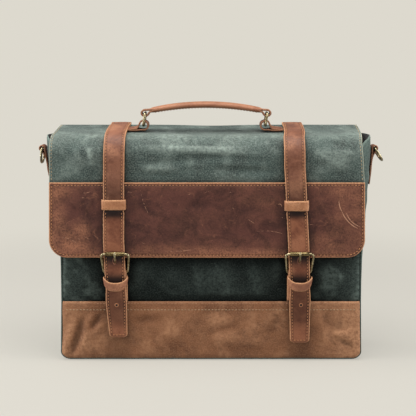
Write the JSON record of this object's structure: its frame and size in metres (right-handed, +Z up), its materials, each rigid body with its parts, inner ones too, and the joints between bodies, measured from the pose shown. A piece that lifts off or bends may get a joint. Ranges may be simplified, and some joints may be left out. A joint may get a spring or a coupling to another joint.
{
  "type": "satchel bag",
  "caption": "Canvas and leather laptop satchel with a fold-over flap, two buckled straps on hidden snaps, a rolled top handle on brass rings and a D-ring at each end.",
  "frame": {"origin": "middle of the flat underside", "axes": "+X to the bag's right as seen from the front, -Y out of the front, +Z up to the handle"},
  "size_m": [0.4644, 0.1183, 0.3433],
  "materials": {
    "green_canvas": "waxed, rubbed pale on the folds",
    "brown_canvas": "waxed, creased",
    "flap_leather": "oiled pull-up, scuffed, raw edges",
    "strap_leather": "oiled, raw edges",
    "grip_leather": "light tan, handled",
    "lining_cloth": "matt black cotton",
    "divider_foam": "cloth over foam",
    "base_board": "matt board",
    "brass": "antiqued",
    "thread": "waxed thread"
  },
  "bodies": {
    "bag_body": {"front_panel": "green_canvas", "back_panel": "green_canvas", "front_base_panel": "brown_canvas", "back_base_panel": "brown_canvas", "bottom_panel": "green_canvas", "base_board": "base_board", "lining": "lining_cloth", "laptop_divider": "divider_foam", "slip_pocket": "lining_cloth", "flap_yoke": "green_canvas", "gusset_left": "green_canvas", "dring_tab_left": "strap_leather", "snap_socket_left": "brass", "gusset_right": "green_canvas", "dring_tab_right": "strap_leather", "snap_socket_right": "brass"},
    "flap_top": {"flap_top_canvas": "green_canvas", "flap_top_lining": "lining_cloth", "strap_top_left": "strap_leather", "handle_tab_left": "strap_leather", "strap_top_right": "strap_leather", "handle_tab_right": "strap_leather"},
    "flap_front": {"flap_front_canvas": "green_canvas", "flap_front_lining": "lining_cloth", "flap_leather": "flap_leather", "strap_front_left": "strap_leather", "keeper_upper_left": "strap_leather", "strap_front_right": "strap_leather", "keeper_upper_right": "strap_leather"},
    "strap_left": {"strap_tail_left": "strap_leather", "keeper_lower_left": "strap_leather", "buckle_frame_left": "brass", "buckle_tab_left": "strap_leather", "snap_stud_left": "brass"},
    "roller_left": {"buckle_roller_left": "brass"},
    "prong_left": {"prong_left": "brass"},
    "dring_left": {"dring_left": "brass"},
    "ring_left": {"handle_ring_left": "brass"},
    "strap_right": {"strap_tail_right": "strap_leather", "keeper_lower_right": "strap_leather", "buckle_frame_right": "brass", "buckle_tab_right": "strap_leather", "snap_stud_right": "brass"},
    "roller_right": {"buckle_roller_right": "brass"},
    "prong_right": {"prong_right": "brass"},
    "dring_right": {"dring_right": "brass"},
    "ring_right": {"handle_ring_right": "brass"},
    "handle": {"handle_core": "grip_leather", "handle_grip": "grip_leather"}
  },
  "joints": [
    {"name": "flap_back_fold", "type": "hinge", "parent": "bag_body", "child": "flap_top", "pos_m": [0, 0.049, 0.3055], "axis": [-1, 0, 0], "range_deg": [0, 170]},
    {"name": "flap_front_fold", "type": "hinge", "parent": "flap_top", "child": "flap_front", "pos_m": [0, -0.0488, 0.2948], "axis": [-1, 0, 0], "range_deg": [0, 110]},
    {"name": "strap_swing_left", "type": "hinge", "parent": "flap_front", "child": "strap_left", "pos_m": [0, -0.0579, 0.203], "axis": [-1, 0, 0], "range_deg": [0, 95]},
    {"name": "roller_turn_left", "type": "hinge", "parent": "strap_left", "child": "roller_left", "pos_m": [0, -0.0624, 0.1475], "axis": [1, 0, 0], "continuous": true},
    {"name": "prong_tilt_left", "type": "hinge", "parent": "strap_left", "child": "prong_left", "pos_m": [0, -0.0536, 0.121], "axis": [1, 0, 0], "range_deg": [0, 5]},
    {"name": "strap_swing_right", "type": "hinge", "parent": "flap_front", "child": "strap_right", "pos_m": [0, -0.0579, 0.203], "axis": [-1, 0, 0], "range_deg": [0, 95]},
    {"name": "roller_turn_right", "type": "hinge", "parent": "strap_right", "child": "roller_right", "pos_m": [0, -0.0624, 0.1475], "axis": [1, 0, 0], "continuous": true},
    {"name": "prong_tilt_right", "type": "hinge", "parent": "strap_right", "child": "prong_right", "pos_m": [0, -0.0536, 0.121], "axis": [1, 0, 0], "range_deg": [0, 5]},
    {"name": "ring_tilt_left", "type": "hinge", "parent": "flap_top", "child": "ring_left", "pos_m": [-0.0905, 0, 0.3117], "axis": [0, 1, 0], "range_deg": [-55, 40]},
    {"name": "handle_sway", "type": "hinge", "parent": "ring_left", "child": "handle", "pos_m": [-0.08835, 0, 0.32806], "axis": [0, 1, 0], "range_deg": [-40, 55]},
    {"name": "ring_tilt_right", "type": "hinge", "parent": "flap_top", "child": "ring_right", "pos_m": [0.0725, 0, 0.3117], "axis": [0, 1, 0], "range_deg": [-55, 40]},
    {"name": "dring_swing_left", "type": "hinge", "parent": "bag_body", "child": "dring_left", "pos_m": [-0.2268, 0, 0.281], "axis": [0, 1, 0], "range_deg": [-3, 140]},
    {"name": "dring_swing_right", "type": "hinge", "parent": "bag_body", "child": "dring_right", "pos_m": [0.2198, 0, 0.281], "axis": [0, -1, 0], "range_deg": [-30, 115]}
  ],
  "couplings": [
    {"joint": "ring_tilt_right", "follows": "ring_tilt_left", "ratio": 1},
    {"joint": "handle_sway", "follows": "ring_tilt_left", "ratio": -1}
  ]
}
